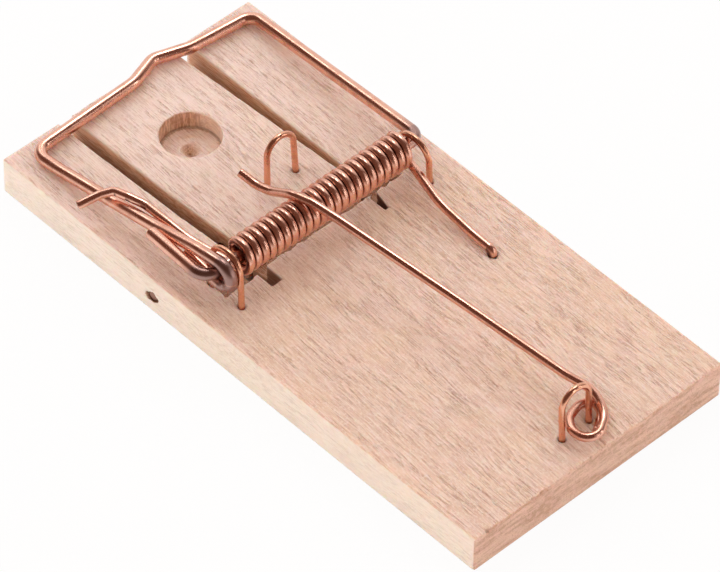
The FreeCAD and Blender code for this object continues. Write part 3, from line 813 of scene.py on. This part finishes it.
# The recess's wall takes the sawn colour, browner with painted shade on its far side and paler to both sides;
# its floor is pale with ring marks
facing = np.cos(turn - math.radians(150))
wall = 0.45 + 0.3 * np.clip(facing, 0, 1)
marks = np.clip(bait_rings(r, turn), 0, 1) * fade(turn, 2.6, 1.6) * 0.7
floor = 0.10 + marks + 0.75 * fade(r, 0.7, 1.5)
cut = np.where(recess, np.where(r > BAIT_R - 0.45, wall * fade(inside, 0.5, 0.0), floor), cut)
# Painted shade at the foot of the recess's wall and in the middle of its floor
foot = fade(np.abs(pz - BAIT_FLOOR - 0.1), 0.0, 0.35) * (r > BAIT_R - 0.4)
painted_shade = np.where(recess, 0.55 * foot + 0.35 * fade(r, 0.1, 1.0), 0.0)
painted_shade = np.maximum(painted_shade, leg_hole_shade(px, py, pz, ["catch_staple"]))
# Painted shade down the tongue's near side, inside the slot beside it
kerf_wall_shade = np.where(recess, 0.0, 0.6 * fade(inside, 3.6, 1.0) * (near < 1.0))
painted_shade = np.maximum(painted_shade, kerf_wall_shade)
put_attribute(tongue.data, "cut", cut)
put_attribute(tongue.data, "painted_shade", painted_shade)


# Riding
def place(piece, body, node):
    if body:
        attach(piece, body)
    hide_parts(node)


place(board, "base", "base_board")
place(tongue, "treadle", "treadle_board")
place(pin, "base", "treadle_pivot_pin")
place(bow, "bow", "striker_bow")
place(rod, "rod", "holding_rod")
for name, piece in staples.items():
    place(piece, STAPLES[name][2], name)
place(spring, None, "main_spring")
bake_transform(spring)


# Camera
def camera_axes(azimuth, elevation, roll):
    a, e, r = (math.radians(v) for v in (azimuth, elevation, roll))
    back = Vector((math.sin(a) * math.cos(e), -math.cos(a) * math.cos(e), math.sin(e)))
    right = Vector((math.cos(a), math.sin(a), 0.0))
    up = back.cross(right)
    return (right * math.cos(r) + up * math.sin(r), up * math.cos(r) - right * math.sin(r), back)


right, up, back = camera_axes(AZIMUTH, ELEVATION, ROLL)
camera_data = bpy.data.cameras.new("camera")
camera_data.sensor_width = SENSOR
camera_data.lens = LENS
camera_data.clip_start = 0.02
camera_data.clip_end = 20.0
camera = bpy.data.objects.new("camera", camera_data)
scene.collection.objects.link(camera)
turn = Matrix((right, up, back)).transposed().to_4x4()
camera.matrix_world = Matrix.Translation((Vector(TARGET) + back * DISTANCE) * MM) @ turn
scene.camera = camera


# Studio
def soft_box(name, direction, distance, width, height, radiance, colour=(1, 1, 1)):
    data = bpy.data.lights.new(name, "AREA")
    data.shape = "RECTANGLE"
    data.size, data.size_y = width, height
    data.energy = radiance * math.pi * width * height
    data.color = colour
    lamp = bpy.data.objects.new(name, data)
    scene.collection.objects.link(lamp)
    d = Vector(direction).normalized()
    lamp.location = d * distance
    lamp.rotation_euler = d.to_track_quat("Z", "Y").to_euler()
    return lamp


key = soft_box("key", (-0.66, 0.30, 0.68), 0.6, 0.66, 0.56, 1.28, (0.89, 1.0, 1.16))
right_box = soft_box("right", (0.80, 0.47, 0.36), 0.7, 0.24, 0.50, 2.3, (1.0, 0.99, 0.96))
top = soft_box("top", (-0.32, 0.40, 0.85), 0.7, 0.17, 0.24, 6.5)
card = soft_box("card", (0.80, 0.47, 0.36), 0.7, 0.44, 0.44, 3.0)
left = soft_box("left", (-0.72, 0.12, 0.68), 0.7, 0.12, 0.18, 3.0)
fill = soft_box("fill", (-0.15, -0.92, 0.24), 0.8, 0.7, 0.30, 1.95)
# The first three don't show in reflections, and the others only show there
for lamp in (key, fill, right_box):
    lamp.visible_glossy = False
for lamp in (top, card, left):
    lamp.visible_diffuse = False

world = bpy.data.worlds.new("studio")
scene.world = world
world.use_nodes = True
t = world.node_tree
t.nodes.clear()
# Reflections see a dark room, lighter near the floor and bright towards one side. The camera sees
# plain white, and an even warm light falls on the rest.
heading = add(t, "ShaderNodeTexCoord").outputs["Generated"]
bright_side = (-0.613, 0.664, 0.429)
dot = add(t, "ShaderNodeVectorMath", {0: heading, 1: bright_side}, operation="DOT_PRODUCT")
toward = dot.outputs[1]
above = add(t, "ShaderNodeSeparateXYZ", {0: heading}).outputs[2]
dim = mix(t, ramp(t, above, 0.30, 0.06), (0.13, 0.058, 0.040), (0.52, 0.42, 0.37))
room = mix(t, ramp(t, toward, 0.57, 0.82), dim, (0.96, 0.96, 0.96))
camera_ray = add(t, "ShaderNodeLightPath").outputs["Is Camera Ray"]
room = mix(t, camera_ray, room, (1.0, 1.0, 1.0))
around = mix(t, seen_directly(t), (0.75, 0.615, 0.520), room)
add(t, "ShaderNodeOutputWorld", {0: add(t, "ShaderNodeBackground", {0: around, 1: 1.0}).outputs[0]})

m, t = material("floor_paper")
where = add(t, "ShaderNodeTexCoord").outputs["Object"]
fibre = noise_of(t, scaled(t, where, (60.0, 60.0, 60.0)), 3.0)
paper = mix(t, fibre, (0.94, 0.94, 0.94), (0.96, 0.96, 0.96))
lit = add(t, "ShaderNodeBsdfDiffuse", {0: paper})
glow = add(t, "ShaderNodeEmission", {0: (1, 1, 1, 1), 1: 1.0})
# Where the board doesn't cover it, the paper is seen nearly plain white, with a little shading
place_on = add(t, "ShaderNodeSeparateXYZ", {0: in_mm(t, where)})
past_end = math_node(t, "SUBTRACT", math_node(t, "ABSOLUTE", place_on.outputs[0]), LENGTH / 2)
past_side = math_node(t, "SUBTRACT", math_node(t, "ABSOLUTE", place_on.outputs[1]), WIDTH / 2)
bare = ramp(t, math_node(t, "MAXIMUM", past_end, past_side), -6.0, -3.0)
share = math_node(t, "MULTIPLY", math_node(t, "MULTIPLY", seen_directly(t), bare), 0.93)
both = add(t, "ShaderNodeMixShader", {0: share, 1: lit.outputs[0], 2: glow.outputs[0]})
add(t, "ShaderNodeOutputMaterial", {0: both.outputs[0]})
# The floor's half width and how far it lies under the board, both in metres. The drop keeps the
# two from sharing a face.
FLOOR, FLOOR_DROP = 3.0, 0.00002
corners = [(-FLOOR, -FLOOR, 0), (FLOOR, -FLOOR, 0), (FLOOR, FLOOR, 0), (-FLOOR, FLOOR, 0)]
floor = make_object("floor", corners, [(0, 1, 2, 3)], m, False)
floor.location.z = -FLOOR_DROP

scene.view_settings.view_transform = "Standard"
